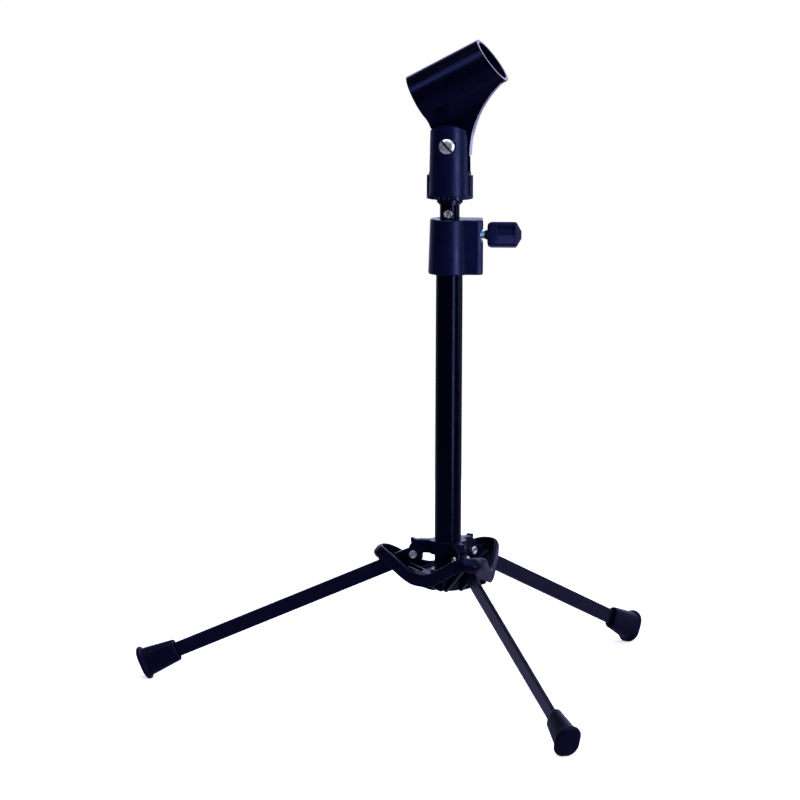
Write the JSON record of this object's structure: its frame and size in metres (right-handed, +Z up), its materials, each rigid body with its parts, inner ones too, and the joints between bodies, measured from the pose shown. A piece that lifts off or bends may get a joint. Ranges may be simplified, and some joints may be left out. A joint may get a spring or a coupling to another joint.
{
  "type": "desktop microphone stand",
  "caption": "Tabletop microphone stand: folding flat-bar tripod, telescopic steel mast with a side clamp knob, and a tilting moulded clip for a handheld microphone.",
  "frame": {"origin": "on the axis of the mast, at the floor that the feet stand on", "axes": "+Z up along the mast, +X along the clamp screw towards its knob, +Y completes a right-handed frame"},
  "size_m": [0.3169, 0.3356, 0.3957],
  "materials": {
    "black_steel": "satin powder coat",
    "black_plastic": "moulded, fine texture, slight sheen",
    "clip_plastic": "moulded polyamide, semi-matt",
    "black_rubber": "matt rubber",
    "dark_nylon": "natural moulded nylon, dark",
    "white_nylon": "natural moulded nylon",
    "blue_thread": "steel thread with a blue locking coat",
    "nickel": "bright nickel plate",
    "zinc_steel": "turned, zinc plated",
    "black_oxide": "black oxide",
    "brass": "turned"
  },
  "bodies": {
    "stand": {"outer_tube": "black_steel", "tube_plug": "dark_nylon", "leg_spider": "black_plastic", "hub_washer": "zinc_steel", "hub_screw": "nickel", "leg_collar": "black_plastic", "collar_set_screws": "black_oxide", "leg_pivot_screws": "nickel", "leg_pivot_nuts": "nickel", "clamp_collar": "black_plastic", "guide_bush": "white_nylon", "clamp_insert": "brass"},
    "left_leg": {"leg_left": "black_steel", "foot_left": "black_rubber"},
    "front_leg": {"leg_front": "black_steel", "foot_front": "black_rubber"},
    "right_leg": {"leg_right": "black_steel", "foot_right": "black_rubber"},
    "press_pad": {"pressure_pad": "white_nylon"},
    "knob": {"knob_screw": "blue_thread", "knob_handle": "black_plastic"},
    "mast": {"inner_tube": "black_steel", "slider_bush": "dark_nylon", "mast_stud": "zinc_steel", "stud_screw": "nickel", "step_nut": "black_steel"},
    "ring": {"lock_ring": "black_steel"},
    "yoke": {"clip_yoke": "black_plastic", "yoke_insert": "brass", "tilt_screw": "nickel", "tilt_nut": "nickel", "tilt_washers": "white_nylon"},
    "clip": {"mic_clip": "clip_plastic"}
  },
  "joints": [
    {"name": "left_leg_fold", "type": "hinge", "parent": "stand", "child": "left_leg", "pos_m": [-0.02047, 0.0031, 0.0836], "axis": [-0.1495, -0.9888, 0], "range_deg": [0, 66]},
    {"name": "front_leg_fold", "type": "hinge", "parent": "stand", "child": "front_leg", "pos_m": [0.00755, -0.01927, 0.0836], "axis": [0.9311, 0.3649, 0], "range_deg": [0, 66]},
    {"name": "right_leg_fold", "type": "hinge", "parent": "stand", "child": "right_leg", "pos_m": [0.01291, 0.01618, 0.0836], "axis": [-0.7815, 0.6239, 0], "range_deg": [0, 66]},
    {"name": "pad_slide", "type": "slide", "parent": "stand", "child": "press_pad", "axis": [1, 0, 0], "range_m": [0, 0.0016]},
    {"name": "knob_turn", "type": "hinge", "parent": "press_pad", "child": "knob", "pos_m": [0.03, 0, 0.2787], "axis": [1, 0, 0], "range_deg": [0, 720]},
    {"name": "mast_slide", "type": "slide", "parent": "stand", "child": "mast", "axis": [0, 0, 1], "range_m": [0, 0.14]},
    {"name": "lock_ring_turn", "type": "hinge", "parent": "mast", "child": "ring", "pos_m": [0, 0, 0.3005], "axis": [0, 0, 1], "range_deg": [0, 60]},
    {"name": "clip_pan", "type": "hinge", "parent": "mast", "child": "yoke", "pos_m": [0, 0, 0.307], "axis": [0, 0, 1], "range_deg": [-180, 180]},
    {"name": "clip_tilt", "type": "hinge", "parent": "yoke", "child": "clip", "pos_m": [0, 0, 0.3325], "axis": [0.1736, 0.9848, 0], "range_deg": [-80, 55]}
  ],
  "couplings": [
    {"joint": "knob_turn", "follows": "pad_slide", "rad_per_m": 7853.9}
  ]
}
